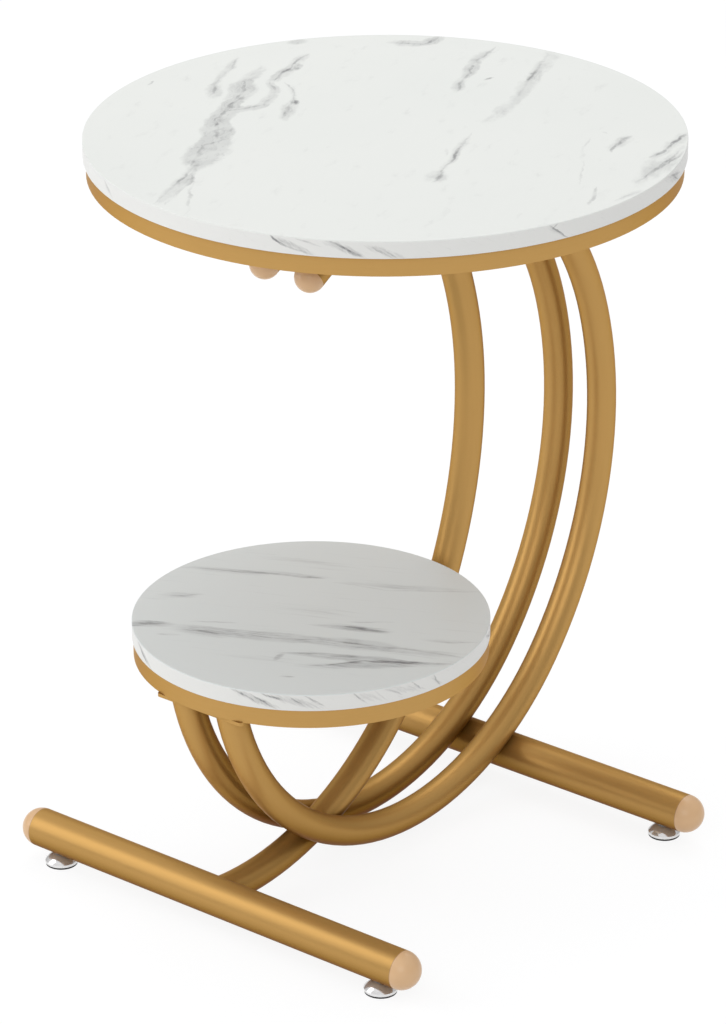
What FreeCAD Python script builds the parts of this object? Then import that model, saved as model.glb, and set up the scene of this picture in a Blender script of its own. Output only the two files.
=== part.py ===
"""Tiered side table: two round boards on a frame of three rolled oval tubes and two floor bars.

Frame: millimetres, +Z up, floor at Z = 0, origin in the middle of the table's outline.
+X runs from the front bar to the rear bar and +Y along the bars.
"""
import FreeCAD, Part
import math
import os
import re
import Sketcher

doc = FreeCAD.newDocument("tiered_side_table")
sheet = doc.addObject("Spreadsheet::Sheet", "Sizes")

# Driving dimensions in millimetres and degrees
SIZES = {
    # Boards: fibreboard core, printed laminate face and edge band
    "overall_height": 647,
    "top_diameter": 500,
    "shelf_diameter": 303,
    "shelf_height": 242.8,
    "board_thickness": 14.5,
    "laminate_thickness": 0.8,
    "laminate_edge_round": 0.4,
    "edge_band_thickness": 1,
    # Metal hoop, cross bars and mounting plate under each board
    "top_hoop_height": 15.8,
    "shelf_hoop_height": 16,
    "top_hoop_inset": 2.5,
    "shelf_hoop_inset": 1,
    "hoop_wall": 3,
    "cross_bar_width": 20,
    "cross_bar_wall": 1.5,
    "top_cross_bar_spacing": 92,
    "shelf_cross_bar_spacing": 60,
    "plate_thickness": 3,
    "plate_corner_radius": 3,
    "top_plate_length": 124,
    "top_plate_width": 120,
    "shelf_plate_length": 96,
    "shelf_plate_width": 92,
    "shelf_plate_margin": 14,
    # Screws
    "plate_screw_diameter": 6,
    "plate_screw_head_diameter": 11,
    "plate_screw_head_height": 3.3,
    "plate_screw_length": 9,
    "top_plate_screw_spacing": 96,
    "shelf_plate_screw_spacing": 34,
    "shelf_plate_screw_inset": 16,
    "board_screw_diameter": 4,
    "board_screw_head_diameter": 8,
    "board_screw_head_height": 2.4,
    "board_screw_bite": 9,
    "board_screw_clearance": 0.25,
    "top_board_screw_spacing": 300,
    "shelf_board_screw_spacing": 140,
    # Where the uprights stand, measured along X; the shelf goes with the feet of the arcs
    "top_axis": -18,
    "shelf_offset": 132.165,
    "front_bar_offset": 228,
    # Rolled tubes: the pair of arcs
    "tube_diameter": 26,
    "tube_wall": 2.5,
    "arc_spacing": 48,
    "arc_axis_offset": 8,
    "arc_reach": 267.3,
    "arc_drop": 6.6,
    "arc_waist_rise": 282,
    "arc_bottom_turn": 48,
    "arc_top_turn": 73,
    "arc_tip_reach": 134.9,
    # Rolled tube in the middle, from the front bar to the plate under the top
    "spine_axis_offset": 188.2,
    "spine_reach": 303.7,
    "spine_lift": 0.6,
    "spine_waist_rise": 315.5,
    "spine_crest_rise": 81.3,
    "spine_bottom_turn": 45.5,
    "spine_top_turn": 69.6,
    # Floor bars
    "bar_diameter": 33.7,
    "bar_wall": 2.6,
    "front_bar_length": 400,
    "rear_bar_length": 440,
    "rear_seat_depth": 1.9,
    # Domed plugs in the open tube ends
    "cap_skin": 2,
    "cap_plug_clearance": 0.3,
    "arc_cap_plug_length": 12,
    "bar_cap_plug_length": 13,
    # Screw levellers
    "bar_floor_clearance": 10.65,
    "leveller_inset": 22,
    "leveller_diameter": 28.4,
    "leveller_rim_height": 2.2,
    "leveller_top_diameter": 11,
    "leveller_bar_gap": 0.5,
    "pad_thickness": 1.5,
    "pad_edge_inset": 0.5,
    "pad_gap": 0.3,
    "pad_pivot_diameter": 6,
    "pad_pivot_height": 3,
    "running_clearance": 0.05,
    "stem_diameter": 8,
    "stem_length": 18,
    "insert_diameter": 12,
    "insert_recess": 0.5,
    "insert_length": 15,
}

# Sizes that follow from the driving dimensions
DERIVED = {
    "top_radius": "top_diameter / 2",
    "shelf_radius": "shelf_diameter / 2",
    "core_thickness": "board_thickness - laminate_thickness",
    "top_hoop_radius": "top_radius - top_hoop_inset",
    "shelf_hoop_radius": "shelf_radius - shelf_hoop_inset",
    "top_hoop_bottom": "overall_height - board_thickness - top_hoop_height",
    "shelf_hoop_bottom": "shelf_height - board_thickness - shelf_hoop_height",
    "top_plate_bottom": "top_hoop_bottom - plate_thickness",
    "shelf_plate_bottom": "shelf_hoop_bottom - plate_thickness",
    "tube_radius": "tube_diameter / 2",
    "bar_radius": "bar_diameter / 2",
    "bar_axis_height": "bar_floor_clearance + bar_radius",
    "front_bar_axis": "top_axis - front_bar_offset",
    # Arcs: two quarter ovals of two tangent radii each, one below the waist and one above it
    "arc_axis": "top_axis + arc_axis_offset",
    "arc_bottom": "bar_axis_height - arc_drop",
    "arc_crest": "top_plate_bottom - tube_radius",
    "arc_waist": "arc_crest - arc_waist_rise",
    "arc_lower_rise": "arc_waist - arc_bottom",
    "arc_upper_rise": "arc_crest - arc_waist",
    "arc_bottom_radius": "(arc_reach * cos(arc_bottom_turn) - arc_lower_rise * (1 - sin(arc_bottom_turn)))"
                         " / (sin(arc_bottom_turn) + cos(arc_bottom_turn) - 1)",
    "arc_low_side_radius": "(arc_lower_rise * sin(arc_bottom_turn) - arc_reach * (1 - cos(arc_bottom_turn)))"
                           " / (sin(arc_bottom_turn) + cos(arc_bottom_turn) - 1)",
    "arc_top_radius": "(arc_reach * cos(arc_top_turn) - arc_upper_rise * (1 - sin(arc_top_turn)))"
                      " / (sin(arc_top_turn) + cos(arc_top_turn) - 1)",
    "arc_high_side_radius": "(arc_upper_rise * sin(arc_top_turn) - arc_reach * (1 - cos(arc_top_turn)))"
                            " / (sin(arc_top_turn) + cos(arc_top_turn) - 1)",
    "arc_bottom_centre": "arc_bottom + arc_bottom_radius",
    "arc_top_centre": "arc_crest - arc_top_radius",
    "arc_foot_x": "arc_axis - sqrt(pow(arc_bottom_radius; 2) - pow(arc_bottom_centre - shelf_plate_bottom; 2))",
    "shelf_axis": "arc_foot_x + shelf_offset",
    "arc_tip_x": "arc_axis - arc_tip_reach",
    "arc_tip_z": "arc_top_centre + sqrt(pow(arc_top_radius; 2) - pow(arc_tip_reach; 2))",
    # Spine: the same construction, cut off by the plate under the top
    "spine_axis": "top_axis - spine_axis_offset",
    "spine_bottom": "bar_axis_height + spine_lift",
    "spine_crest": "top_plate_bottom + spine_crest_rise",
    "spine_waist": "spine_crest - spine_waist_rise",
    "spine_lower_rise": "spine_waist - spine_bottom",
    "spine_upper_rise": "spine_crest - spine_waist",
    "spine_bottom_radius": "(spine_reach * cos(spine_bottom_turn) - spine_lower_rise * (1 - sin(spine_bottom_turn)))"
                           " / (sin(spine_bottom_turn) + cos(spine_bottom_turn) - 1)",
    "spine_low_side_radius": "(spine_lower_rise * sin(spine_bottom_turn)"
                             " - spine_reach * (1 - cos(spine_bottom_turn)))"
                             " / (sin(spine_bottom_turn) + cos(spine_bottom_turn) - 1)",
    "spine_top_radius": "(spine_reach * cos(spine_top_turn) - spine_upper_rise * (1 - sin(spine_top_turn)))"
                        " / (sin(spine_top_turn) + cos(spine_top_turn) - 1)",
    "spine_high_side_radius": "(spine_upper_rise * sin(spine_top_turn) - spine_reach * (1 - cos(spine_top_turn)))"
                              " / (sin(spine_top_turn) + cos(spine_top_turn) - 1)",
    "spine_bottom_centre": "spine_bottom + spine_bottom_radius",
    "spine_top_centre": "spine_crest - spine_top_radius",
    # The rear bar lies under the arcs, sunk into them by the depth of its saddles
    "rear_seat_reach": "arc_bottom_radius + tube_radius + bar_radius - rear_seat_depth",
    "rear_bar_axis": "arc_axis + sqrt(pow(rear_seat_reach; 2) - pow(arc_bottom_centre - bar_axis_height; 2))",
    # Plates, measured along X
    "top_plate_start": "top_axis - top_plate_length / 2",
    "shelf_plate_start": "arc_foot_x - shelf_plate_margin",
    # Levellers, measured from the floor
    "dome_bottom": "pad_thickness + pad_gap",
    "dome_top": "bar_floor_clearance - leveller_bar_gap",
    "socket_top": "dome_bottom + pad_pivot_height",
    "insert_bottom": "bar_floor_clearance + insert_recess",
    "stem_radius": "stem_diameter / 2 - running_clearance",
}

for row, (name, value) in enumerate({**SIZES, **DERIVED}.items(), start=1):
    sheet.set(f"A{row}", name)
    sheet.set(f"B{row}", f"={value}" if name in DERIVED else str(value))
    sheet.setAlias(f"B{row}", name)
doc.recompute()


def size(name):
    """Value of one named size."""
    return float(sheet.get(name))


def cell(text):
    """Expression in which every named size is read from the sheet."""
    return re.sub(r"[a-z_]+", lambda word: f"Sizes.{word[0]}" if word[0] in NAMES else word[0], str(text))


def number(text):
    """Value of an expression of named sizes, for a first guess that the sheet then drives."""
    sheet.set("D1", f"={text}")
    sheet.recompute()
    return float(sheet.get("D1"))


NAMES = {**SIZES, **DERIVED}
UPRIGHT = FreeCAD.Rotation()
ALONG_Y = FreeCAD.Rotation(FreeCAD.Vector(1, 0, 0), -90)
AGAINST_Y = FreeCAD.Rotation(FreeCAD.Vector(1, 0, 0), 90)
subparts = []


def place(item, x=0, y=0, z=0, turn=UPRIGHT):
    """Put an object at a point given by sizes, so that it moves with them."""
    item.Placement = FreeCAD.Placement(FreeCAD.Vector(0, 0, 0), turn)
    for axis, text in (("x", x), ("y", y), ("z", z)):
        if text != 0:
            item.setExpression(f"Placement.Base.{axis}", cell(text))
    return item


def cylinder(name, radius, height, x=0, y=0, z=0, turn=UPRIGHT):
    item = doc.addObject("Part::Cylinder", name)
    item.setExpression("Radius", cell(radius))
    item.setExpression("Height", cell(height))
    return place(item, x, y, z, turn)


def block(name, length, width, height, x=0, y=0, z=0):
    item = doc.addObject("Part::Box", name)
    item.setExpression("Length", cell(length))
    item.setExpression("Width", cell(width))
    item.setExpression("Height", cell(height))
    return place(item, x, y, z)


def cut(name, base, *tools):
    """Base less each tool in turn."""
    for index, tool in enumerate(tools, start=1):
        item = doc.addObject("Part::Cut", name if index == len(tools) else f"{name}_cut")
        item.Base = base
        item.Tool = tool
        base = item
    return base


def fuse(name, *pieces):
    item = doc.addObject("Part::MultiFuse", name)
    item.Shapes = list(pieces)
    return item


def group(name, pieces):
    item = doc.addObject("Part::Compound", name)
    item.Links = pieces
    return item


def subpart(item, label):
    """Name a finished sub-part, which is then written to its own file."""
    item.Label = label
    subparts.append(item)
    return item


def origin_plane(body, role):
    return next(plane for plane in body.Origin.OriginFeatures if plane.Role == role)


def drive(sketch, kind, geometry, point, text):
    """Hold one coordinate of a sketch point at a size of the sheet."""
    index = sketch.addConstraint(Sketcher.Constraint(kind, -1, 1, geometry, point, number(text)))
    sketch.setExpression(f"Constraints[{index}]", cell(text))


def turned(name, outline, bulge=None):
    """Body turned about Z from a closed outline of (radius, height) points.

    The edge that starts at point number bulge is an arc whose centre lies on the axis.
    """
    body = doc.addObject("PartDesign::Body", name)
    sketch = body.newObject("Sketcher::SketchObject", f"{name}_outline")
    sketch.AttachmentSupport = (origin_plane(body, "XZ_Plane"), [""])
    sketch.MapMode = "FlatFace"
    points = [FreeCAD.Vector(number(radius), number(height), 0) for radius, height in outline]
    for index, point in enumerate(points):
        following = points[(index + 1) % len(points)]
        if index == bulge:
            # The centre on the axis is as far from one end of the arc as from the other
            middle = (following.x**2 + following.y**2 - point.x**2 - point.y**2) / (2 * (following.y - point.y))
            centre = FreeCAD.Vector(0, middle, 0)
            angles = [math.atan2(end.y - middle, end.x) for end in (point, following)]
            circle = Part.Circle(centre, FreeCAD.Vector(0, 0, 1), point.distanceToPoint(centre))
            sketch.addGeometry(Part.ArcOfCircle(circle, *angles))
        else:
            sketch.addGeometry(Part.LineSegment(point, following))
    for index in range(len(points)):
        sketch.addConstraint(Sketcher.Constraint("Coincident", index, 2, (index + 1) % len(points), 1))
    for index, (radius, height) in enumerate(outline):
        for kind, text, axis in (("DistanceX", radius, -2), ("DistanceY", height, -1)):
            if text == 0:
                sketch.addConstraint(Sketcher.Constraint("PointOnObject", index, 1, axis))
            else:
                drive(sketch, kind, index, 1, text)
    if bulge is not None:
        sketch.addConstraint(Sketcher.Constraint("PointOnObject", bulge, 3, -2))
    turn = body.newObject("PartDesign::Revolution", f"{name}_turn")
    turn.Profile = sketch
    turn.ReferenceAxis = (sketch, ["V_Axis"])
    turn.Angle = 360
    return body


# Boards, with the hoop, cross bars and plate that carry them
def tier(label, axis, height, radius, hoop, plate, bars, board_screws, plate_screws):
    """One round board: laminate on a banded core, on a flat-bar hoop with two cross bars and a plate.

    hoop is (radius, height), plate is (start, length, width) and bars is the spacing of the cross bars.
    board_screws and plate_screws are each (first, spacing) along X.
    """
    hoop_radius, hoop_height = hoop
    plate_start, plate_length, plate_width = plate
    board_bottom = f"({height} - board_thickness)"
    hoop_bottom = f"({board_bottom} - {hoop_height})"
    plate_bottom = f"({hoop_bottom} - plate_thickness)"
    core_radius = f"({radius} - edge_band_thickness)"
    sides = (("near", -1), ("far", 1))

    laminate = turned(f"{label}_laminate", [
        (0, "core_thickness"), (radius, "core_thickness"), (radius, "board_thickness - laminate_edge_round"),
        (f"{radius} - laminate_edge_round", "board_thickness"), (0, "board_thickness")])
    subpart(place(laminate, axis, 0, board_bottom), f"{label}_laminate")
    band = turned(f"{label}_edge_band", [
        (core_radius, 0), (radius, 0), (radius, "core_thickness"), (core_radius, "core_thickness")])
    subpart(place(band, axis, 0, board_bottom), f"{label}_edge_band")

    hoop_wall = turned(f"{label}_hoop", [
        (f"{hoop_radius} - hoop_wall", 0), (hoop_radius, 0), (hoop_radius, hoop_height),
        (f"{hoop_radius} - hoop_wall", hoop_height)])
    subpart(place(hoop_wall, axis, 0, hoop_bottom), f"{label}_hoop")

    # Screw positions: two on each cross bar for the board and two for the plate
    board_spots, plate_spots = [
        [(f"({first} + {step} * {spacing})", f"{side} * {bars} / 2") for step in (0, 1) for _, side in sides]
        for first, spacing in (board_screws, plate_screws)]

    pilots = [cylinder(f"{label}_pilot", "board_screw_diameter / 2", "board_screw_bite", x, y, board_bottom)
              for x, y in board_spots]
    blank = cylinder(f"{label}_blank", core_radius, "core_thickness", axis, 0, board_bottom)
    subpart(cut(f"{label}_core", blank, *pilots), f"{label}_core")

    for name, side in sides:
        middle = f"{side} * {bars} / 2"
        outer = block(f"{label}_bar_outer", f"2 * {hoop_radius}", "cross_bar_width", hoop_height,
                      f"{axis} - {hoop_radius}", f"{middle} - cross_bar_width / 2", hoop_bottom)
        hollow = block(f"{label}_bar_hollow", f"2 * {hoop_radius}", "cross_bar_width - 2 * cross_bar_wall",
                       f"{hoop_height} - 2 * cross_bar_wall", f"{axis} - {hoop_radius}",
                       f"{middle} - cross_bar_width / 2 + cross_bar_wall", f"{hoop_bottom} + cross_bar_wall")
        holes = [cylinder(f"{label}_screw_hole", "board_screw_diameter / 2 + board_screw_clearance", hoop_height,
                          x, y, hoop_bottom) for x, y in board_spots if y == middle]
        holes += [cylinder(f"{label}_thread", "plate_screw_diameter / 2", "cross_bar_wall", x, y, hoop_bottom)
                  for x, y in plate_spots if y == middle]
        inside = cylinder(f"{label}_hoop_inside", f"{hoop_radius} - hoop_wall", hoop_height, axis, 0, hoop_bottom)
        trimmed = doc.addObject("Part::Common", f"{label}_bar_{name}")
        trimmed.Base = cut(f"{label}_bar_tube", outer, hollow, *holes)
        trimmed.Tool = inside
        subpart(trimmed, f"{label}_cross_bar_{name}")

    sheet_metal = block(f"{label}_plate_blank", plate_length, plate_width, "plate_thickness",
                        plate_start, f"-{plate_width} / 2", plate_bottom)
    rounded = doc.addObject("Part::Fillet", f"{label}_plate_rounded")
    rounded.Base = sheet_metal
    corner = size("plate_corner_radius")
    doc.recompute()
    rounded.Edges = [(index, corner, corner) for index, edge in enumerate(sheet_metal.Shape.Edges, start=1)
                     if abs(edge.tangentAt(edge.FirstParameter).z) > 0.9]
    holes = [cylinder(f"{label}_plate_hole", "plate_screw_diameter / 2", "plate_thickness", x, y, plate_bottom)
             for x, y in plate_spots]
    subpart(cut(f"{label}_plate", rounded, *holes), f"{label}_mounting_plate")

    screws = []
    for x, y in plate_spots:
        head = cylinder(f"{label}_plate_screw_head", "plate_screw_head_diameter / 2", "plate_screw_head_height",
                        x, y, f"{plate_bottom} - plate_screw_head_height")
        shank = cylinder(f"{label}_plate_screw_shank", "plate_screw_diameter / 2", "plate_screw_length",
                         x, y, plate_bottom)
        screws.append(fuse(f"{label}_plate_screw", head, shank))
    subpart(group(f"{label}_plate_screw_group", screws), f"{label}_plate_screws")
    screws = []
    for x, y in board_spots:
        head = cylinder(f"{label}_board_screw_head", "board_screw_head_diameter / 2", "board_screw_head_height",
                        x, y, f"{hoop_bottom} - board_screw_head_height")
        shank = cylinder(f"{label}_board_screw_shank", "board_screw_diameter / 2",
                         f"{hoop_height} + board_screw_bite", x, y, hoop_bottom)
        screws.append(fuse(f"{label}_board_screw", head, shank))
    subpart(group(f"{label}_board_screw_group", screws), f"{label}_board_screws")


tier("top", "top_axis", "overall_height", "top_radius", ("top_hoop_radius", "top_hoop_height"),
     ("top_plate_start", "top_plate_length", "top_plate_width"), "top_cross_bar_spacing",
     ("(top_axis - top_board_screw_spacing / 2)", "top_board_screw_spacing"),
     ("(top_axis - top_plate_screw_spacing / 2)", "top_plate_screw_spacing"))
tier("shelf", "shelf_axis", "shelf_height", "shelf_radius", ("shelf_hoop_radius", "shelf_hoop_height"),
     ("shelf_plate_start", "shelf_plate_length", "shelf_plate_width"), "shelf_cross_bar_spacing",
     ("(shelf_plate_start + shelf_plate_length + board_screw_head_diameter)", "shelf_board_screw_spacing"),
     ("(shelf_plate_start + shelf_plate_length - shelf_plate_screw_inset - shelf_plate_screw_spacing)",
      "shelf_plate_screw_spacing"))


# Rolled tubes: each runs along four tangent arcs in an upright plane
def oval_path(name, label, y, start, end):
    """Sketch of the centre line: bottom arc, lower side, upper side and top arc, joined tangentially.

    start and end each hold one coordinate of an open end: (constraint kind, size expression, value pair).
    """
    sketch = doc.addObject("Sketcher::SketchObject", name)
    place(sketch, 0, y, 0, AGAINST_Y)
    axis, waist = size(f"{label}_axis"), size(f"{label}_waist")
    radii = [f"{label}_{part}_radius" for part in ("bottom", "low_side", "high_side", "top")]
    reach = axis + size(f"{label}_reach")
    centres = [(axis, size(f"{label}_bottom_centre")), (reach - size(radii[1]), waist),
               (reach - size(radii[2]), waist), (axis, size(f"{label}_top_centre"))]
    joins = [start[2], 270 + size(f"{label}_bottom_turn"), 360, 450 - size(f"{label}_top_turn"), end[2]]
    for index, (radius, (x, z)) in enumerate(zip(radii, centres)):
        circle = Part.Circle(FreeCAD.Vector(x, z, 0), FreeCAD.Vector(0, 0, 1), size(radius))
        angles = [math.radians(angle) for angle in joins[index:index + 2]]
        sketch.addGeometry(Part.ArcOfCircle(circle, *angles))
    for index in range(3):
        sketch.addConstraint(Sketcher.Constraint("Tangent", index, 2, index + 1, 1))
    for index, radius in enumerate(radii):
        held = sketch.addConstraint(Sketcher.Constraint("Radius", index, size(radius)))
        sketch.setExpression(f"Constraints[{held}]", cell(radius))
    drive(sketch, "DistanceX", 0, 3, f"{label}_axis")
    drive(sketch, "DistanceY", 0, 3, f"{label}_bottom_centre")
    drive(sketch, "DistanceY", 1, 3, f"{label}_waist")
    drive(sketch, "DistanceY", 2, 3, f"{label}_waist")
    drive(sketch, "DistanceX", 3, 3, f"{label}_axis")
    drive(sketch, start[0], 0, 1, start[1])
    drive(sketch, end[0], 3, 2, end[1])
    return sketch


def swept(name, path, radius, y, angle, centre, sweep_radius):
    """Round bar along a path that starts at an angle on its first arc."""
    ring = doc.addObject("Part::Circle", f"{name}_section")
    ring.setExpression("Radius", cell(radius))
    turn = math.radians(angle)
    spot = FreeCAD.Vector(centre[0] + sweep_radius * math.cos(turn), number(y),
                          centre[1] + sweep_radius * math.sin(turn))
    heading = FreeCAD.Vector(-math.sin(turn), 0, math.cos(turn))
    ring.Placement = FreeCAD.Placement(spot, FreeCAD.Rotation(FreeCAD.Vector(0, 0, 1), heading))
    pipe = doc.addObject("Part::Sweep", name)
    pipe.Sections = [ring]
    pipe.Spine = (path, [f"Edge{index}" for index in range(1, 5)])
    pipe.Solid = True
    pipe.Frenet = False
    return pipe


# The tubes overrun the faces that trim them by one radius
arc_overrun = size("shelf_plate_bottom") + size("tube_radius")
arc_start = 180 + math.degrees(math.asin(
    (size("arc_bottom_centre") - arc_overrun) / size("arc_bottom_radius")))
arc_end = 450 + math.degrees(math.asin(size("arc_tip_reach") / size("arc_top_radius")))
spine_start = 270 - math.degrees(math.asin(
    (size("spine_axis") - size("front_bar_axis")) / size("spine_bottom_radius")))
spine_overrun = size("top_plate_bottom") + size("tube_radius")
spine_end = 360 + math.degrees(math.asin(
    (spine_overrun - size("spine_top_centre")) / size("spine_top_radius")))

arc_solids = []
for name, side in (("near", -1), ("far", 1)):
    y = f"{side} * arc_spacing / 2"
    path = oval_path(f"arc_path_{name}", "arc", y,
                     ("DistanceY", "shelf_plate_bottom + tube_radius", arc_start),
                     ("DistanceX", "arc_tip_x", arc_end))
    hub = (size("arc_axis"), size("arc_bottom_centre"))
    outer = swept(f"arc_outer_{name}", path, "tube_radius", y, arc_start, hub, size("arc_bottom_radius"))
    bore = swept(f"arc_bore_{name}", path, "tube_radius - tube_wall", y, arc_start, hub,
                 size("arc_bottom_radius"))
    # Square cut under the shelf plate
    trim = block(f"arc_trim_{name}", "4 * tube_diameter", "2 * tube_diameter", "2 * tube_diameter",
                 "arc_foot_x - 2 * tube_diameter", f"{y} - tube_diameter", "shelf_plate_bottom")
    subpart(cut(f"arc_{name}", outer, bore, trim), f"arc_tube_{name}")
    arc_solids.append(outer)

path = oval_path("spine_path", "spine", 0, ("DistanceX", "front_bar_axis", spine_start),
                 ("DistanceY", "top_plate_bottom + tube_radius", spine_end))
hub = (size("spine_axis"), size("spine_bottom_centre"))
outer = swept("spine_outer", path, "tube_radius", 0, spine_start, hub, size("spine_bottom_radius"))
bore = swept("spine_bore", path, "tube_radius - tube_wall", 0, spine_start, hub, size("spine_bottom_radius"))
front_cope = cylinder("front_cope", "bar_radius", "2 * tube_diameter", "front_bar_axis", "-tube_diameter",
                      "bar_axis_height", ALONG_Y)
trim = block("spine_trim", "2 * spine_reach", "2 * tube_diameter", "2 * tube_diameter",
             "spine_axis", "-tube_diameter", "top_plate_bottom")
# The spine is notched where it squeezes between the arcs, coped to the front bar and cut flat at the top
subpart(cut("spine", outer, bore, front_cope, trim, *arc_solids), "spine_tube")

# Floor bars with a hole for each leveller insert; the rear one is saddled for the arcs
BARS = (("front", "front_bar_axis", "front_bar_length"), ("rear", "rear_bar_axis", "rear_bar_length"))
ENDS = (("near", -1), ("far", 1))
for name, axis, length in BARS:
    outer = cylinder(f"{name}_bar_outer", "bar_radius", length, axis, f"-{length} / 2", "bar_axis_height", ALONG_Y)
    bore = cylinder(f"{name}_bar_bore", "bar_radius - bar_wall", length, axis, f"-{length} / 2",
                    "bar_axis_height", ALONG_Y)
    holes = [cylinder(f"{name}_insert_hole", "insert_diameter / 2", "bar_radius", axis,
                      f"{side} * ({length} / 2 - leveller_inset)", 0) for _, side in ENDS]
    saddles = arc_solids if name == "rear" else []
    subpart(cut(f"{name}_bar", outer, bore, *holes, *saddles), f"{name}_floor_bar")


# Domed plugs: a half ball with a hollow spigot that presses into the tube
def cap(name, radius, wall, plug):
    spigot = f"({radius} - {wall} - cap_plug_clearance)"
    return turned(name, [
        (radius, 0), (0, radius), (0, "-cap_skin"), (f"{spigot} - cap_skin", "-cap_skin"),
        (f"{spigot} - cap_skin", f"-{plug}"), (spigot, f"-{plug}"), (spigot, 0)], bulge=0)


tip_turn = FreeCAD.Rotation(FreeCAD.Vector(0, 1, 0), 360 - arc_end)
for name, side in ENDS:
    plug = cap(f"arc_cap_{name}", "tube_radius", "tube_wall", "arc_cap_plug_length")
    subpart(place(plug, "arc_tip_x", f"{side} * arc_spacing / 2", "arc_tip_z", tip_turn), f"arc_end_cap_{name}")
for bar, axis, length in BARS:
    for name, side in ENDS:
        plug = cap(f"{bar}_cap_{name}", "bar_radius", "bar_wall", "bar_cap_plug_length")
        facing = AGAINST_Y if side < 0 else ALONG_Y
        subpart(place(plug, axis, f"{side} * {length} / 2", "bar_axis_height", facing), f"{bar}_bar_cap_{name}")

# Screw levellers: threaded insert in the bar, stem, chrome dome and a glide pad that turns in the dome
for bar, axis, length in BARS:
    for name, side in ENDS:
        y = f"{side} * ({length} / 2 - leveller_inset)"
        spot = f"{bar}_{name}"
        sleeve = turned(f"insert_{spot}", [
            ("stem_diameter / 2", "insert_bottom"), ("insert_diameter / 2", "insert_bottom"),
            ("insert_diameter / 2", "insert_bottom + insert_length"),
            ("stem_diameter / 2", "insert_bottom + insert_length")])
        subpart(place(sleeve, axis, y, 0), f"leveller_insert_{spot}")
        stem = cylinder(f"stem_{spot}", "stem_radius", "stem_length", axis, y, "socket_top")
        subpart(stem, f"leveller_stem_{spot}")
        dome = turned(f"dome_{spot}", [
            ("leveller_diameter / 2", "dome_bottom + leveller_rim_height"), ("leveller_top_diameter / 2", "dome_top"),
            ("stem_radius", "dome_top"), ("stem_radius", "socket_top"),
            ("pad_pivot_diameter / 2 + running_clearance", "socket_top"),
            ("pad_pivot_diameter / 2 + running_clearance", "dome_bottom"), ("leveller_diameter / 2", "dome_bottom")],
            bulge=0)
        subpart(place(dome, axis, y, 0), f"leveller_dome_{spot}")
        pad = turned(f"pad_{spot}", [
            (0, 0), ("leveller_diameter / 2 - pad_edge_inset", 0),
            ("leveller_diameter / 2 - pad_edge_inset", "pad_thickness"), ("pad_pivot_diameter / 2", "pad_thickness"),
            ("pad_pivot_diameter / 2", "pad_thickness + pad_pivot_height"), (0, "pad_thickness + pad_pivot_height")])
        subpart(place(pad, axis, y, 0), f"leveller_pad_{spot}")

# Rebuild, look for failures and write one file per sub-part
sheet.clear("D1")
doc.recompute()
for item in doc.Objects:
    if {"Invalid", "Error"} & set(item.State):
        raise RuntimeError(f"{item.Name} failed: {item.State}")
os.makedirs("parts", exist_ok=True)
for item in subparts:
    shape = item.Shape
    if shape.isNull() or not shape.isValid():
        raise RuntimeError(f"{item.Label} has no valid shape")
for item in subparts:
    item.Shape.exportStep(f"parts/{item.Label}.step")
    print(f"{item.Label}: {len(item.Shape.Solids)} solids, {item.Shape.Volume:.0f} mm3")
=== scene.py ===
"""Tiered side table: two round marble-look boards on a gold frame of rolled tubes."""
import math

import bmesh
import bpy
from mathutils import Euler, Matrix, Vector


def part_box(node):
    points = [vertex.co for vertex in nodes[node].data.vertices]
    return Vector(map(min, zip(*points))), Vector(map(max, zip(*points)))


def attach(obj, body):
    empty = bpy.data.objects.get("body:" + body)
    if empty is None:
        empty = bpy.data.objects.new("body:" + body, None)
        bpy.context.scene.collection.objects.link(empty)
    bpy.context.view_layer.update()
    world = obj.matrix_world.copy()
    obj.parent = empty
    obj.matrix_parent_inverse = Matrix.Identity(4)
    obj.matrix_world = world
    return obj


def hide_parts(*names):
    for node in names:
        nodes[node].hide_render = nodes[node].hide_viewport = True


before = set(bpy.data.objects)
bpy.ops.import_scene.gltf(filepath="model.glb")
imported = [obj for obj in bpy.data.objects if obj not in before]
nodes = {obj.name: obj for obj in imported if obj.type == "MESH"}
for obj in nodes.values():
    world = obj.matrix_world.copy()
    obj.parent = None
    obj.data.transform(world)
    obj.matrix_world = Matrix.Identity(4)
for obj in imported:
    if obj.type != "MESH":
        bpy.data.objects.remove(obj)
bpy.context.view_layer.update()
bpy.ops.object.select_all(action="DESELECT")


# Floor bars
# Two straight lengths of steel pipe that lie across the table near the floor. They are brushed along
# their length and coated in satin gold, and each carries a screw foot near both ends.

class Value:
    """One value, colour or vector in a node tree; arithmetic on values adds Math nodes."""

    def __init__(self, tree, socket):
        self.tree = tree
        self.socket = socket

    def maths(self, operation, *others, clamp=False):
        settings = {"operation": operation, "use_clamp": clamp}
        return self.tree.node("ShaderNodeMath", settings, [self, *others])

    def __add__(self, other):
        return self.maths("ADD", other)

    def __sub__(self, other):
        return self.maths("SUBTRACT", other)

    def __rsub__(self, other):
        return self.tree.node("ShaderNodeMath", {"operation": "SUBTRACT"}, [other, self])

    def __mul__(self, other):
        return self.maths("MULTIPLY", other)

    __radd__ = __add__
    __rmul__ = __mul__

    def __abs__(self):
        return self.maths("ABSOLUTE")

    def clamped(self):
        """The value, kept between 0 and 1."""
        return self.maths("ADD", 0.0, clamp=True)

    def step(self, low, high, start=0.0, end=1.0):
        """Smooth change from start, where the value is low, to end, where it is high."""
        return self.tree.node("ShaderNodeMapRange", {"interpolation_type": "SMOOTHSTEP"}, {
            "Value": self, "From Min": low, "From Max": high, "To Min": start, "To Max": end})


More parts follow.
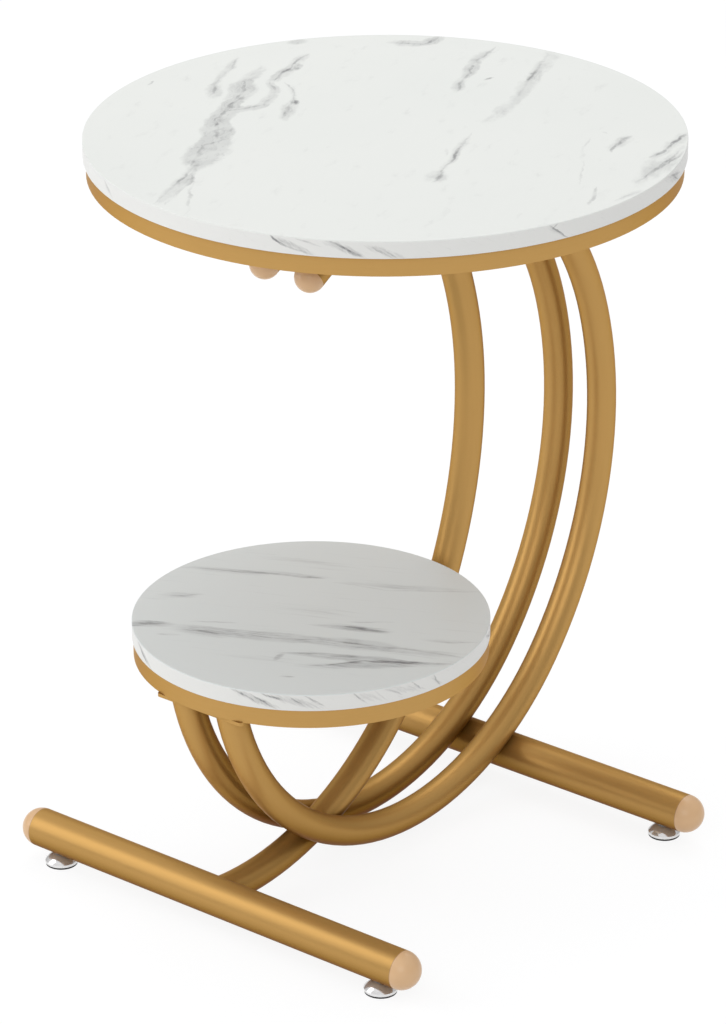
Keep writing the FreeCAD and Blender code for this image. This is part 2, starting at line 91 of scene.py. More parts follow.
class Tree:
    """A node tree that grows by one method."""

    def __init__(self, tree):
        self.tree = tree

    def node(self, kind, settings=None, inputs=(), output=0):
        """Add a node with its settings and the values or links of its sockets, and give an output."""
        made = self.tree.nodes.new(kind)
        for name, value in (settings or {}).items():
            setattr(made, name, value)
        for name, value in inputs.items() if isinstance(inputs, dict) else enumerate(inputs):
            self.feed(made.inputs[name], value)
        return Value(self, made.outputs[output])

    def feed(self, socket, value):
        """Link a value to a socket, or set the socket to a plain number or colour."""
        if isinstance(value, Value):
            self.tree.links.new(value.socket, socket)
        else:
            socket.default_value = value

    def parts(self, vector):
        """The three coordinates of a vector."""
        first = self.node("ShaderNodeSeparateXYZ", inputs=[vector])
        return [Value(self, output) for output in first.socket.node.outputs]


class Finish(Tree):
    """A procedural material around one Principled shader."""

    def __init__(self, name, metallic, specular=0.5):
        self.material = bpy.data.materials.new(name)
        self.material.use_nodes = True
        super().__init__(self.material.node_tree)
        self.shader = self.tree.nodes["Principled BSDF"]
        self.shader.inputs["Metallic"].default_value = metallic
        self.shader.inputs["Specular IOR Level"].default_value = specular

    def place(self):
        """Where a point of the piece is, in metres in the table's own frame."""
        return self.node("ShaderNodeTexCoord", output="Object")

    def stretched(self, vector, size, turn=0.0, middle=(0, 0, 0)):
        """A vector from a middle, in units of size, along axes turned about Z by degrees."""
        return self.node("ShaderNodeMapping", {"vector_type": "TEXTURE"}, {
            "Vector": vector, "Location": middle, "Rotation": (0, 0, math.radians(turn)), "Scale": size})

    def noise(self, vector, scale, detail=2.0, roughness=0.5, output=0):
        """Soft random tone from 0 to 1, with scale lumps to each unit of the vector."""
        return self.node("ShaderNodeTexNoise", inputs={
            "Vector": vector, "Scale": scale, "Detail": detail, "Roughness": roughness}, output=output)

    def mix(self, share, first, second):
        """A colour between two, by a share."""
        sockets = {0: share, 6: first, 7: second}
        return self.node("ShaderNodeMix", {"data_type": "RGBA"}, sockets, output=2)

    def surface(self, colour, roughness, height=None, depth=0.0):
        """Feed the shader; depth is how far the height stands out, in metres."""
        self.feed(self.shader.inputs["Base Color"], colour)
        self.feed(self.shader.inputs["Roughness"], roughness)
        if height is not None:
            self.feed(self.shader.inputs["Normal"], self.node("ShaderNodeBump", inputs={
                "Strength": 1.0, "Distance": depth, "Height": height}, output="Normal"))

    def dress(self, *names):
        """Give the finish to CAD nodes."""
        for name in names:
            nodes[name].data.materials.clear()
            nodes[name].data.materials.append(self.material)


GOLD_LIGHT = (0.585, 0.348, 0.120, 1)
GOLD_MID = (0.525, 0.305, 0.097, 1)
# The deep gold is painted shade, mixed in where corners and undersides would be shaded
GOLD_PAINTED_SHADE = (0.205, 0.094, 0.010, 1)
GOLD_RIM = (0.460, 0.270, 0.000, 1)
GOLD_RELIEF = 0.00002


def gold(name, grain, reach):
    """Satin gold on brushed steel, with painted shade: size of the brush marks and reach of the painted
    corner shade, in metres.
    """
    finish = Finish(name, metallic=0.5, specular=0.05)
    finish.shader.inputs["Specular Tint"].default_value = GOLD_RIM
    spot = finish.place()
    brush = finish.noise(finish.stretched(spot, grain), scale=1.0, detail=3.0)
    cloud = finish.noise(spot, scale=9.0, detail=3.0)
    pores = finish.noise(spot, scale=1400.0)
    coat = finish.mix(cloud * 0.5 + brush * 0.5, GOLD_MID, GOLD_LIGHT)
    # Painted shade: ambient occlusion turns the base colour to a deep gold in corners, undersides and near
    # the floor, standing in for shade and for gold mirrored in gold
    painted_shade_ao = finish.node("ShaderNodeAmbientOcclusion", {"samples": 8}, {"Distance": reach}, output="AO")
    colour = finish.mix(painted_shade_ao.step(0.04, 0.97), GOLD_PAINTED_SHADE, coat)
    roughness = 0.30 + cloud * 0.05 + brush * 0.07
    finish.surface(colour, roughness, brush * 0.6 + pores * 0.4, GOLD_RELIEF)
    return finish


BAR_BRUSH = (0.0024, 0.16, 0.0024)
# How far the painted corner shade of the floor bars reaches, in metres
BAR_PAINTED_SHADE_REACH = 0.08
gold("gold_bar", BAR_BRUSH, BAR_PAINTED_SHADE_REACH).dress("front_floor_bar", "rear_floor_bar")


# Rolled tubes
# Two matching C-shaped tubes and a third between them, rolled to an oval and welded to the floor bars and
# to the plates under the boards. The brush marks follow the rolling, so each keeps to one place along Y.

TUBE_BRUSH = (0.080, 0.0020, 0.080)
# How far the painted corner shade of the tubes and hoops reaches, in metres
TUBE_PAINTED_SHADE_REACH = 0.16
gold("gold_tube", TUBE_BRUSH, TUBE_PAINTED_SHADE_REACH).dress("arc_tube_near", "arc_tube_far", "spine_tube")


# Domed plugs
# Moulded plastic plugs, peach coloured, pressed into the ends of the floor bars and of the C-shaped
# tubes. A fine line of shade shows where a plug meets its floor bar.

PEACH_DEEP = (0.720, 0.460, 0.250, 1)
PEACH_PALE = (0.756, 0.490, 0.272, 1)
PEACH_RELIEF = 0.00001
SEAM_SHADE = (0.30, 0.150, 0.050, 1)
SEAM_STRENGTH = 0.7
SEAM_DARK_TO = 0.0002
SEAM_GONE_AT = 0.0009


def plug(name, seam, *caps):
    """Peach plastic; seam is how far from the middle of the table along Y the plugs meet their bar."""
    peach = Finish(name, metallic=0.0)
    spot = peach.place()
    mottle = peach.noise(spot, scale=60.0, detail=3.0)
    pores = peach.noise(spot, scale=2200.0, detail=1.0)
    moulded = peach.mix(mottle, PEACH_DEEP, PEACH_PALE)
    sideways = peach.parts(spot)[1]
    line = 1 - (abs(sideways) - seam).step(SEAM_DARK_TO, SEAM_GONE_AT)
    colour = peach.mix(line * SEAM_STRENGTH, moulded, SEAM_SHADE)
    peach.surface(colour, 0.26 + mottle * 0.05, pores, PEACH_RELIEF)
    peach.dress(*caps)


plug("peach_front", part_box("front_floor_bar")[1].y, "front_bar_cap_near", "front_bar_cap_far")
plug("peach_rear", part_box("rear_floor_bar")[1].y, "rear_bar_cap_near", "rear_bar_cap_far")
# At the middle of the table there is no plug, so those of the C-shaped tubes show no line
plug("peach_arc", 0.0, "arc_end_cap_near", "arc_end_cap_far")


# Screw feet
# Polished chrome domes on zinc-plated stems that screw into steel inserts in the floor bars. A dark glide
# pad turns under each dome.

FEET = ("front_near", "front_far", "rear_near", "rear_far")
CHROME_DULL = (0.80, 0.80, 0.81, 1)
CHROME_BRIGHT = (0.90, 0.90, 0.90, 1)
ZINC_DARK = (0.50, 0.51, 0.52, 1)
ZINC_LIGHT = (0.66, 0.66, 0.65, 1)
ZINC_RELIEF = 0.00002
PAD_DARK = (0.018, 0.018, 0.019, 1)
PAD_DUSTY = (0.045, 0.044, 0.043, 1)
PAD_RELIEF = 0.00004

chrome = Finish("chrome", metallic=0.70)
haze = chrome.noise(chrome.place(), scale=180.0, detail=3.0)
chrome.surface(chrome.mix(haze, CHROME_DULL, CHROME_BRIGHT), 0.08 + haze * 0.08)
chrome.dress(*[f"leveller_dome_{foot}" for foot in FEET])

zinc = Finish("zinc_plate", metallic=1.0)
spangle = zinc.noise(zinc.place(), scale=320.0, detail=4.0)
zinc.surface(zinc.mix(spangle, ZINC_DARK, ZINC_LIGHT), 0.28 + spangle * 0.2, spangle, ZINC_RELIEF)
zinc.dress(*[f"leveller_{piece}_{foot}" for piece in ("stem", "insert") for foot in FEET])

rubber = Finish("dark_pad", metallic=0.0, specular=0.3)
grit = rubber.noise(rubber.place(), scale=900.0, detail=3.0)
rubber.surface(rubber.mix(grit, PAD_DARK, PAD_DUSTY), 0.6 + grit * 0.25, grit, PAD_RELIEF)
rubber.dress(*[f"leveller_pad_{foot}" for foot in FEET])


# Hoops, cross bars and plates
# Each board lies on a hoop of flat steel bar, rolled and butt welded, with two square cross bars inside it
# and a plate below them where the tubes end. All of it has the gold finish of the tubes.

HOOP_BRUSH = (0.016, 0.016, 0.0014)
gold("gold_hoop", HOOP_BRUSH, TUBE_PAINTED_SHADE_REACH).dress(
    *[f"{board}_{piece}" for board in ("top", "shelf")
      for piece in ("hoop", "cross_bar_near", "cross_bar_far", "mounting_plate")])


# Screws
# Zinc-plated steel screws with cross-recessed pan heads, driven up from below. Short ones hold each plate
# to its cross bars, and long ones go through the cross bars into the board.

HEAD_SIDES = 32
HEAD_ROUNDING = 0.6
POINT_LENGTH = 0.15
POINT_TAPER = 0.5
RECESS_SPAN = 1.2
RECESS_SLOT = 0.28
RECESS_DEPTH = 0.6
RECESS_TAPER = 0.55
SMOOTH_ANGLE = math.radians(35)


def select_ends(piece, upward):
    """In edit mode, select the flat faces that look up, or those that look down."""
    bpy.ops.mesh.select_mode(type="FACE")
    shape = bmesh.from_edit_mesh(piece.data)
    for face in shape.faces:
        face.select_set(face.normal.z * (1 if upward else -1) > 0.9)
    bmesh.update_edit_mesh(piece.data)


def cut_slot(piece, width, length, depth):
    """Cut a tapered slot up into a screw head whose underside is at the origin."""
    bpy.ops.mesh.primitive_cube_add(size=1)
    driver = bpy.context.object
    driver.scale = (width, length, 2 * depth)
    bpy.ops.object.transform_apply(scale=True)
    bpy.ops.object.mode_set(mode="EDIT")
    select_ends(driver, upward=True)
    bpy.ops.transform.resize(value=(RECESS_TAPER, RECESS_TAPER, 1))
    bpy.ops.object.mode_set(mode="OBJECT")
    bpy.context.view_layer.objects.active = piece
    cross = piece.modifiers.new("cross", "BOOLEAN")
    cross.operation = "DIFFERENCE"
    cross.object = driver
    bpy.ops.object.modifier_apply(modifier=cross.name)
    bpy.data.objects.remove(driver)


def pan_screws(name, node, head_radius, head_height, shank_radius):
    """Four like screws in metres, whose heads fill the corners of the CAD node's box."""
    low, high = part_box(node)
    shank = high.z - low.z - head_height
    point = POINT_LENGTH * shank
    bpy.ops.mesh.primitive_cylinder_add(
        vertices=HEAD_SIDES, radius=head_radius, depth=head_height, location=(0, 0, head_height / 2))
    piece = bpy.context.object
    piece.name = name
    bpy.ops.object.transform_apply(location=True)
    bpy.ops.object.mode_set(mode="EDIT")
    select_ends(piece, upward=False)
    bpy.ops.mesh.bevel(offset=head_height * HEAD_ROUNDING, segments=5, affect="EDGES")
    select_ends(piece, upward=True)
    bpy.ops.mesh.inset(thickness=head_radius - shank_radius)
    bpy.ops.mesh.extrude_region_move(TRANSFORM_OT_translate={"value": (0, 0, shank - point)})
    bpy.ops.mesh.extrude_region_move(TRANSFORM_OT_translate={"value": (0, 0, point)})
    bpy.ops.transform.resize(value=(POINT_TAPER, POINT_TAPER, 1))
    bpy.ops.object.mode_set(mode="OBJECT")
    span = RECESS_SPAN * head_radius
    slot = RECESS_SLOT * head_radius
    recess = RECESS_DEPTH * head_height
    cut_slot(piece, span, slot, recess)
    cut_slot(piece, slot, span, recess)
    piece.select_set(True)
    along = high.x - low.x - 2 * head_radius
    across = high.y - low.y - 2 * head_radius
    bpy.ops.object.mode_set(mode="EDIT")
    bpy.ops.mesh.select_all(action="SELECT")
    bpy.ops.transform.translate(value=(low.x + head_radius, low.y + head_radius, low.z))
    for move in ((along, 0, 0), (0, across, 0), (-along, 0, 0)):
        bpy.ops.mesh.duplicate_move(TRANSFORM_OT_translate={"value": move})
    bpy.ops.mesh.select_all(action="SELECT")
    bpy.ops.mesh.normals_make_consistent(inside=False)
    bpy.ops.object.mode_set(mode="OBJECT")
    bpy.ops.object.shade_smooth_by_angle(angle=SMOOTH_ANGLE)
    piece.data.materials.append(zinc.material)
    bpy.ops.object.select_all(action="DESELECT")
    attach(piece, "table")
    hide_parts(node)


PLATE_SCREW = {"head_radius": 0.0055, "head_height": 0.0033, "shank_radius": 0.003}
BOARD_SCREW = {"head_radius": 0.004, "head_height": 0.0024, "shank_radius": 0.002}

for board in ("top", "shelf"):
    pan_screws(f"{board}_plate_pan_screws", f"{board}_plate_screws", **PLATE_SCREW)
    pan_screws(f"{board}_board_pan_screws", f"{board}_board_screws", **BOARD_SCREW)


# Boards
# Round fibreboard cores, faced with a printed white marble laminate and closed with a band of the same
# print. The veins of the top are broken clouds that run one way; those of the shelf are long and thin.

MILLIMETRES = 1000
VEIN_GREY = (0.220, 0.220, 0.226, 1)
CLOUD_STRENGTH = 0.30
CLOUD_RAGGEDNESS = 1.5
THREAD_FINENESS = 24.0
PRINT_RELIEF = 0.000006
STROKE_OVERRUN = 1.2


def stroke_depth(finish, flat, strokes):
    """How deep a spot is in tapered strokes, each (start, end, half width, depth) in millimetres."""
    total = 0.0
    for start, end, half_width, depth in strokes:
        (x0, y0), (x1, y1) = start, end
        half_length = STROKE_OVERRUN / 2 * math.dist(start, end)
        turn = math.degrees(math.atan2(y1 - y0, x1 - x0))
        middle = ((x0 + x1) / 2, (y0 + y1) / 2, 0)
        own = finish.stretched(flat, (half_length, half_width, 1), turn, middle)
        reach = finish.node("ShaderNodeVectorMath", {"operation": "DOT_PRODUCT"}, [own, own],
                            output="Value")
        inside = reach.maths("MULTIPLY_ADD", -1.0, 1.0, clamp=True)
        total = inside.maths("MULTIPLY_ADD", depth, total)
    return total


def marble(finish, spot, flat, grain, ground, threads, clouds, lines):
    """Feed a marble print to a finish: grey clouds with threads in them, and thin dark lines."""
    ragged = finish.noise(grain, scale=1.0, detail=6.0, roughness=0.58)
    fold = finish.noise(grain, scale=1.9, detail=4.0)
    streak = finish.noise(grain, scale=3.2, detail=4.0, roughness=0.6)
    patch = finish.noise(spot, scale=34.0, detail=3.0)
    haze = finish.noise(spot, scale=7.0, detail=4.0)
    pores = finish.noise(spot, scale=700.0)
    depth = stroke_depth(finish, flat, clouds)
    torn = (depth + (ragged - 0.5) * CLOUD_RAGGEDNESS).step(0.10, 0.62)
    cloud = torn * patch.step(0.30, 0.65, start=0.55)
    crease = (1 - abs(fold - 0.5) * THREAD_FINENESS).clamped()
    thread = crease * depth.step(0.2, 0.8) * patch.step(0.40, 0.60)
    strand = streak.step(0.52, 0.66) * depth.step(0.1, 0.7)
    broken = patch.step(0.34, 0.60, start=0.30) * streak.step(0.36, 0.56, start=0.40, end=1.15)
    line = stroke_depth(finish, flat, lines) * broken
    shade = (cloud * CLOUD_STRENGTH + (thread + strand) * threads + line).clamped()
    printed = finish.mix(shade, finish.mix(haze, *ground), VEIN_GREY)
    finish.surface(printed, 0.38 + haze * 0.08, pores, PRINT_RELIEF)


def board_face(name, node, ground, turn, grain, warp, threads, clouds, lines):
    """Laminate of one board: strokes are measured from its middle, and the grain is turned from X."""
    low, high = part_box(node)
    middle = (low + high) / 2 * MILLIMETRES
    finish = Finish(name, metallic=0.0)
    spot = finish.place()
    swirl = finish.noise(spot, scale=24.0, detail=6.0, roughness=0.6, output="Color")
    scaled = {"operation": "MULTIPLY_ADD"}
    flat = finish.node("ShaderNodeVectorMath", scaled, [
        spot, (MILLIMETRES, MILLIMETRES, 0), (-middle.x - warp / 2, -middle.y - warp / 2, 0)])
    bent = finish.node("ShaderNodeVectorMath", scaled, [swirl, (warp, warp, 0), flat])
    along_grain = finish.stretched(bent, (*grain, 1), turn)
    marble(finish, spot, bent, along_grain, ground, threads, clouds, lines)
    finish.dress(node)


EDGE_GRAIN = (14.0, 2.0, 1)
EDGE_TURN = -35
EDGE_THREADS = 0.30
EDGE_WANDER = 5.0


def board_edge(name, node, ground, clouds, lines):
    """Edge band of one board, printed along its length: strokes are (along it, above its lower edge)."""
    low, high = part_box(node)
    middle = (low + high) / 2
    radius = (high.y - low.y) / 2
    finish = Finish(name, metallic=0.0)
    spot = finish.place()
    x, y, z = finish.parts(spot)
    wander = (finish.noise(spot, scale=90.0, detail=4.0) - 0.5) * EDGE_WANDER
    run = (y * -1.0).maths("ARCTAN2", middle.x - x) * (radius * MILLIMETRES) + wander
    rise = (z - low.z) * MILLIMETRES + wander * 0.3
    flat = finish.node("ShaderNodeCombineXYZ", inputs=[run, rise, 0.0])
    along_grain = finish.stretched(flat, EDGE_GRAIN, EDGE_TURN)
    marble(finish, spot, flat, along_grain, ground, EDGE_THREADS, clouds, lines)
    finish.dress(node)


def back_clouds(runs):
    """Like clouds along the back of an edge band, at distances along it."""
    return [((run, 14), (run + 36, 0), 4, 0.6) for run in runs]


def back_lines(runs):
    """Lines in those clouds."""
    return [((run + 4, 13), (run + 26, 2), 1.1, 0.6) for run in runs]


FACE_WHITE = ((0.800, 0.822, 0.796, 1), (0.836, 0.848, 0.820, 1))
# The shelf's white is the top's laminate made darker and cooler: painted shade from the top above it
SHELF_WHITE_PAINTED_SHADE = ((0.725, 0.762, 0.760, 1), (0.758, 0.788, 0.782, 1))
EDGE_WHITE = ((0.792, 0.796, 0.776, 1), (0.820, 0.821, 0.800, 1))

TOP_GRAIN = {"turn": 24, "grain": (36, 14), "warp": 18, "threads": 0.15}
board_face("top_marble", "top_laminate", FACE_WHITE, **TOP_GRAIN, clouds=[
    ((-239, 38), (-155, 70), 9, 0.70), ((-165, 66), (-95, 98), 20, 1.00),
    ((-110, 90), (-55, 132), 17, 0.95), ((-65, 124), (-15, 150), 13, 0.85),
    ((-30, 143), (30, 173), 15, 0.80), ((15, 166), (64, 187), 10, 0.50),
    ((-45, 138), (-8, 117), 9, 0.70), ((-15, 118), (14, 131), 9, 0.70),
    ((8, 127), (36, 156), 7, 0.55), ((-28, 169), (10, 191), 9, 0.55),
    ((0, 186), (68, 219), 6, 0.50), ((35, 150), (80, 169), 9, 0.65),
    ((68, 163), (114, 178), 8, 0.60), ((-30, 87), (20, 110), 9, 0.70),
    ((10, 104), (45, 142), 5, 0.35), ((120, 208), (142, 200), 9, 0.60),
    ((180, 147), (196, 113), 10, 0.75), ((190, 117), (222, 113), 9, 0.70),
    ((-72, -103), (-40, -93), 10, 0.45), ((-50, -97), (42, -59), 6, 0.50),
    ((65, -56), (140, -32), 10, 0.40), ((130, -36), (245, 12), 11, 0.60),
    ((110, 15), (160, 37), 7, 0.50), ((150, 33), (194, 54), 9, 0.70),
    ((185, 51), (232, 63), 9, 0.50), ((88, -170), (124, -162), 8, 0.45),
    ((86, -206), (154, -197), 8, 0.50), ((30, -234), (120, -215), 17, 0.50),
    ((-15, -245), (26, -246), 5, 0.40), ((0, -199), (95, -136), 2.5, 0.25),
], lines=[
    ((-240, 41), (-158, 70), 2.2, 0.45), ((-239, 32), (-190, 48), 2.2, 0.40),
    ((-195, 46), (-148, 74), 2, 0.35), ((-243, 5), (-192, 44), 1.8, 0.30),
    ((-160, 72), (-118, 96), 2, 0.40), ((-118, 96), (-96, 91), 2, 0.25),
    ((-100, 98), (-60, 130), 2.2, 0.40), ((-62, 128), (-12, 150), 2.5, 0.50),
    ((-20, 150), (24, 170), 2.2, 0.40), ((-44, 138), (-8, 119), 2, 0.45),
    ((-12, 119), (10, 129), 2, 0.45), ((10, 129), (36, 156), 1.8, 0.30),
    ((-24, 172), (8, 190), 1.8, 0.35), ((4, 187), (66, 218), 1.6, 0.35),
    ((44, 154), (78, 168), 2, 0.50), ((74, 159), (86, 166), 4.5, 0.80),
    ((6, 102), (18, 108), 4.5, 0.80), ((-16, 146), (-8, 149), 4, 0.40),
    ((78, 168), (113, 177), 1.8, 0.50), ((-26, 90), (4, 105), 2.2, 0.50),
    ((16, 108), (44, 142), 1.6, 0.35), ((-33, 233), (-22, 236), 1.8, 0.60),
    ((-45, -95), (38, -61), 2.0, 0.55), ((-10, -72), (2, -64), 2, 0.25),
    ((-66, -101), (-44, -96), 2, 0.35), ((136, -33), (208, 2), 2, 0.30),
    ((160, -22), (240, 14), 2.2, 0.30), ((155, 17), (165, 14), 2.2, 0.70),
    ((116, 17), (155, 35), 1.8, 0.35), ((152, 34), (190, 53), 2.2, 0.35),
    ((186, 50), (226, 62), 2, 0.40), ((182, 143), (194, 116), 2, 0.45),
    ((196, 115), (216, 114), 2.2, 0.45), ((77, -175), (95, -167), 1.8, 0.50),
    ((92, -168), (120, -163), 2.6, 0.45), ((89, -206), (122, -202), 2.4, 0.60),
    ((118, -202), (152, -197), 2.2, 0.65), ((38, -232), (116, -216), 2, 0.40),
    ((60, -229), (118, -220), 1.8, 0.35), ((-27, -231), (5, -214), 2.2, 0.65),
    ((-11, -244), (21, -247), 1.8, 0.40), ((3, -197), (48, -168), 1.2, 0.20),
    ((55, -163), (93, -138), 1.2, 0.20), ((111, -146), (112, -139), 1.8, 0.40),
])

TOP_BACK_RUNS = (-700, -560, -430, -300, 560, 660)
board_edge("top_edge_marble", "top_edge_band", EDGE_WHITE, clouds=[
    ((78, 13), (116, 1), 3.5, 0.6), ((120, 14), (155, 2), 4, 0.6),
    ((155, 11), (185, 0), 4, 0.6), ((300, 14), (326, 0), 3, 0.3),
    ((450, 14), (494, 2), 6, 0.5), ((-116, 14), (-96, 1), 2.5, 0.3),
    *back_clouds(TOP_BACK_RUNS),
], lines=[
    ((-113, 13.5), (-97, 1.3), 1.0, 0.4), ((77, 14), (90, 5.5), 1.3, 0.8),
    ((88, 6.5), (114, 0.8), 1.0, 0.45), ((99, 13.5), (120, 8.6), 0.9, 0.35),
    ((125, 14), (145, 5.2), 1.1, 0.6), ((140, 7), (152, 1.5), 1.5, 0.7),
    ((158, 10.5), (175, 1), 1.0, 0.5), ((166, 9), (181, 0), 0.9, 0.35),
    ((306, 13.8), (323, 0), 1.0, 0.75), ((309, 10.5), (314, 14.4), 0.9, 0.4),
    ((452, 14), (491, 5), 1.2, 0.45), ((470, 9), (486, 1), 1.0, 0.45),
    *back_lines(TOP_BACK_RUNS),
])

SHELF_GRAIN = {"turn": -64, "grain": (90, 5), "warp": 7, "threads": 0.36}
board_face("shelf_marble", "shelf_laminate", SHELF_WHITE_PAINTED_SHADE, **SHELF_GRAIN, clouds=[
    ((-95, 80), (-60, 16), 12, 0.60), ((-70, 35), (-30, -40), 13, 0.70),
    ((-40, -25), (-5, -95), 13, 0.75), ((-18, -70), (17, -150), 10, 0.55),
    ((5, 152), (66, 38), 6, 0.55), ((62, 30), (128, -86), 6, 0.40),
    ((-110, 113), (-85, 80), 8, 0.70), ((-12, -12), (18, -76), 7, 0.70),
    ((-70, -28), (-24, -108), 7, 0.60), ((-76, -58), (2, -152), 9, 0.70),
    ((-50, -78), (-20, -115), 10, 0.60), ((-60, 133), (-20, 95), 9, 0.35),
    ((20, -100), (50, -145), 6, 0.35), ((-20, 60), (30, -40), 14, 0.25),
    ((-110, 20), (-70, -60), 10, 0.25), ((60, 110), (100, 20), 12, 0.25),
], lines=[
    ((6, 148), (30, 104), 1.6, 0.35), ((28, 106), (64, 41), 2, 0.60),
    ((50, 62), (65, 39), 2.2, 0.40), ((64, 26), (80, -20), 1.4, 0.25),
    ((80, -20), (126, -83), 1.6, 0.35), ((-108, 112), (-90, 86), 2.4, 0.70),
    ((-112, 108), (-100, 95), 2, 0.40), ((-72, 71), (-50, 41), 1.6, 0.35),
    ((-108, 78), (-98, 62), 2, 0.50), ((-84, 60), (-76, 38), 2.2, 0.60),
    ((-78, 42), (-60, 16), 1.6, 0.40), ((-62, 18), (-48, -16), 1.6, 0.30),
    ((-50, -12), (-24, -46), 1.6, 0.30), ((-28, -44), (-13, -78), 2.6, 0.55),
    ((-16, -72), (4, -112), 1.8, 0.40), ((0, -104), (17, -151), 2, 0.45),
    ((-8, -21), (6, -44), 2, 0.40), ((2, -38), (14, -71), 2.8, 0.70),
    ((9, -32), (33, -62), 1.5, 0.35), ((-86, -32), (-70, -29), 3.5, 0.50),
    ((-70, -29), (-46, -60), 2, 0.60), ((-47, -59), (-26, -106), 1.8, 0.40),
    ((-76, -60), (-60, -75), 1.6, 0.35), ((-64, -71), (-36, -93), 2.2, 0.50),
    ((-40, -90), (-23, -118), 3, 0.70), ((-28, -110), (1, -151), 3, 0.80),
    ((-105, -54), (-99, -65), 1.8, 0.45), ((28, -118), (48, -144), 1.4, 0.30),
    ((-42, 114), (-26, 99), 1.6, 0.25),
])

SHELF_BACK_RUNS = (-420, -330, -210, -90, 300, 420)
board_edge("shelf_edge_marble", "shelf_edge_band", EDGE_WHITE, clouds=[
    ((36, 14), (78, 2), 4, 0.6), ((66, 14), (118, 3), 4.5, 0.5),
    ((138, 14), (172, 2), 4, 0.4), ((165, 14), (205, 4), 4, 0.4),
    ((212, 14), (226, 1), 3, 0.4),
    *back_clouds(SHELF_BACK_RUNS),
], lines=[
    ((37, 14), (51, 9.5), 1.3, 0.8), ((50, 10), (59, 5), 1.0, 0.5),
    ((54, 12.2), (75, 1.5), 1.0, 0.5), ((62, 14.2), (70, 11.2), 0.9, 0.4),
    ((68, 12.6), (82, 9.2), 1.3, 0.7), ((86, 13.6), (102, 3), 1.0, 0.5),
    ((99, 14), (115, 4.5), 1.0, 0.5), ((140, 14.4), (152, 2.5), 1.0, 0.6),
    ((158, 14.4), (169, 3), 1.0, 0.5), ((167, 14.4), (183, 5), 1.1, 0.6),
    ((192, 14.4), (202, 5), 1.0, 0.5), ((215, 13.5), (223, 1.5), 1.0, 0.5),
    *back_lines(SHELF_BACK_RUNS),
])

FIBRE_SIZE = (0.0024, 0.0024, 0.0011)
FIBRE_DARK = (0.26, 0.165, 0.095, 1)
FIBRE_LIGHT = (0.50, 0.36, 0.235, 1)
FIBRE_RELIEF = 0.00008

fibre = Finish("fibreboard", metallic=0.0, specular=0.25)
spot = fibre.place()
fleck = fibre.noise(fibre.stretched(spot, FIBRE_SIZE), scale=1.0, detail=5.0, roughness=0.7)
patch = fibre.noise(spot, scale=20.0, detail=3.0)
pressed = fibre.mix(fleck * 0.7 + patch * 0.3, FIBRE_DARK, FIBRE_LIGHT)
fibre.surface(pressed, 0.75 + fleck * 0.15, fleck, FIBRE_RELIEF)
fibre.dress("top_core", "shelf_core")


# Studio
# A plain white floor that keeps the table's soft shadow, an even pale surround that is brighter overhead,
# and three soft panels. The camera stands where the photographer's did.

FLOOR_SIZE = 600
FLOOR_WHITE = (0.90, 0.90, 0.90, 1)
FLOOR_SHADED = (0.158, 0.162, 0.168, 1)
FLOOR_GLOW = 0.87

bpy.ops.mesh.primitive_plane_add(size=FLOOR_SIZE)
floor = bpy.context.object
floor.name = "studio_floor"
paper = Finish("studio_floor", metallic=0.0, specular=0.0)
paper.surface(FLOOR_WHITE, 1.0)
rays = paper.node("ShaderNodeLightPath").socket.node.outputs
camera_ray = Value(paper, rays["Is Camera Ray"])
glossy_ray = Value(paper, rays["Is Glossy Ray"])
clear_ray = Value(paper, rays["Is Transmission Ray"])
seen = (camera_ray + glossy_ray + clear_ray).clamped()
matt = Value(paper, paper.shader.outputs["BSDF"])
shaded = paper.node("ShaderNodeBsdfDiffuse", inputs={"Color": FLOOR_SHADED})
glow = paper.node("ShaderNodeEmission", inputs={"Strength": FLOOR_GLOW})
pale = paper.node("ShaderNodeAddShader", inputs=[shaded, glow])
blend = paper.node("ShaderNodeMixShader", inputs=[seen, matt, pale])
paper.feed(paper.tree.nodes["Material Output"].inputs["Surface"], blend)
floor.data.materials.append(paper.material)

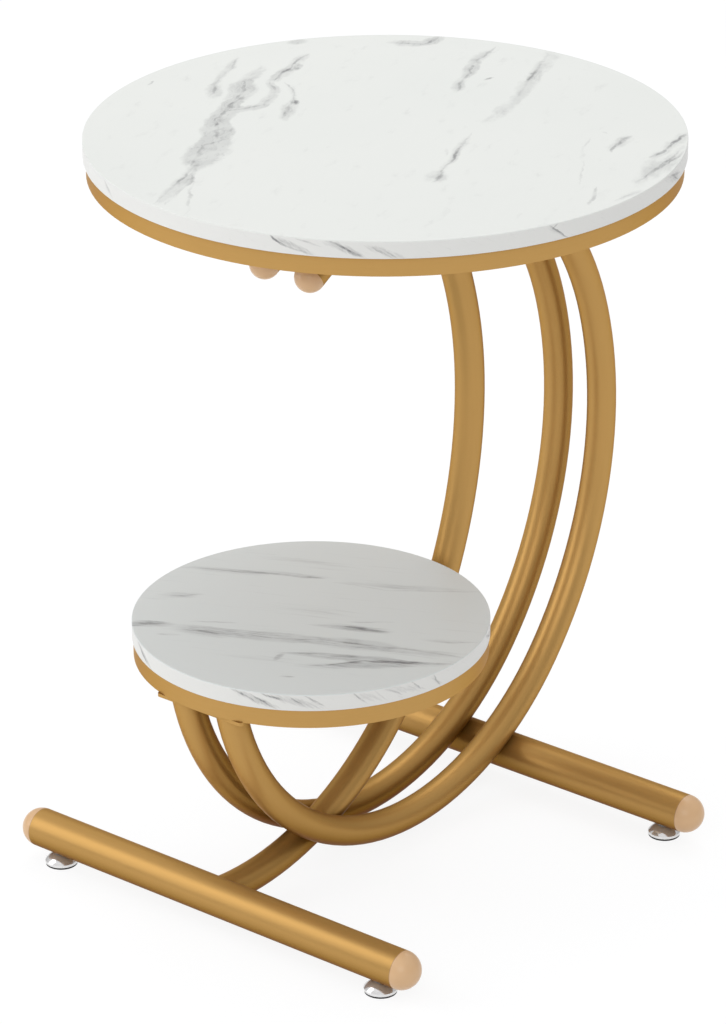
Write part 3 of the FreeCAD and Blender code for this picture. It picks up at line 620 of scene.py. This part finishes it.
HORIZON_LEVEL = 0.34
ZENITH_LEVEL = 0.95
world = bpy.data.worlds.new("studio")
bpy.context.scene.world = world
world.use_nodes = True
sky = Tree(world.node_tree)
upward = sky.parts(sky.node("ShaderNodeTexCoord", output="Generated"))[2]
level = upward.clamped() * (ZENITH_LEVEL - HORIZON_LEVEL) + HORIZON_LEVEL
background = world.node_tree.nodes["Background"]
sky.feed(background.inputs["Color"], (1, 1, 1, 1))
sky.feed(background.inputs["Strength"], level)

PANEL_AIM = Vector((0, 0, 0.35))


def panel(name, place, width, height, radiance):
    """Soft light panel that faces the table."""
    bpy.ops.object.light_add(type="AREA", location=place)
    lamp = bpy.context.object
    lamp.name = name
    lamp.data.shape = "RECTANGLE"
    lamp.data.size = width
    lamp.data.size_y = height
    lamp.data.energy = radiance * math.pi * width * height
    lamp.rotation_euler = (PANEL_AIM - Vector(place)).to_track_quat("-Z", "Y").to_euler()


panel("overhead_panel", (1.3, 0.6, 2.5), width=1.6, height=1.6, radiance=1.4)
panel("side_panel", (-1.75, 1.81, 1.58), width=1.3, height=2.6, radiance=1.85)
panel("front_panel", (-3.78, -2.45, 2.54), width=3.0, height=2.4, radiance=1.6)

CAMERA_PLACE = (-3.0149, -2.4272, 2.0405)
CAMERA_AZIMUTH = math.radians(-50.705)
CAMERA_ELEVATION = math.radians(24.249)
CAMERA_ROLL = math.radians(-0.248)
FOCAL_PIXELS = 4952.46
IMAGE_HEIGHT = 1024
SENSOR_MILLIMETRES = 36

bpy.ops.object.camera_add(location=CAMERA_PLACE)
camera = bpy.context.object
heading = Euler((math.pi / 2 - CAMERA_ELEVATION, 0, CAMERA_AZIMUTH)).to_matrix()
camera.rotation_euler = (heading @ Matrix.Rotation(CAMERA_ROLL, 3, "Z")).to_euler()
camera.data.sensor_width = SENSOR_MILLIMETRES
camera.data.lens = FOCAL_PIXELS * SENSOR_MILLIMETRES / IMAGE_HEIGHT
bpy.context.scene.camera = camera
bpy.context.scene.view_settings.view_transform = "Standard"
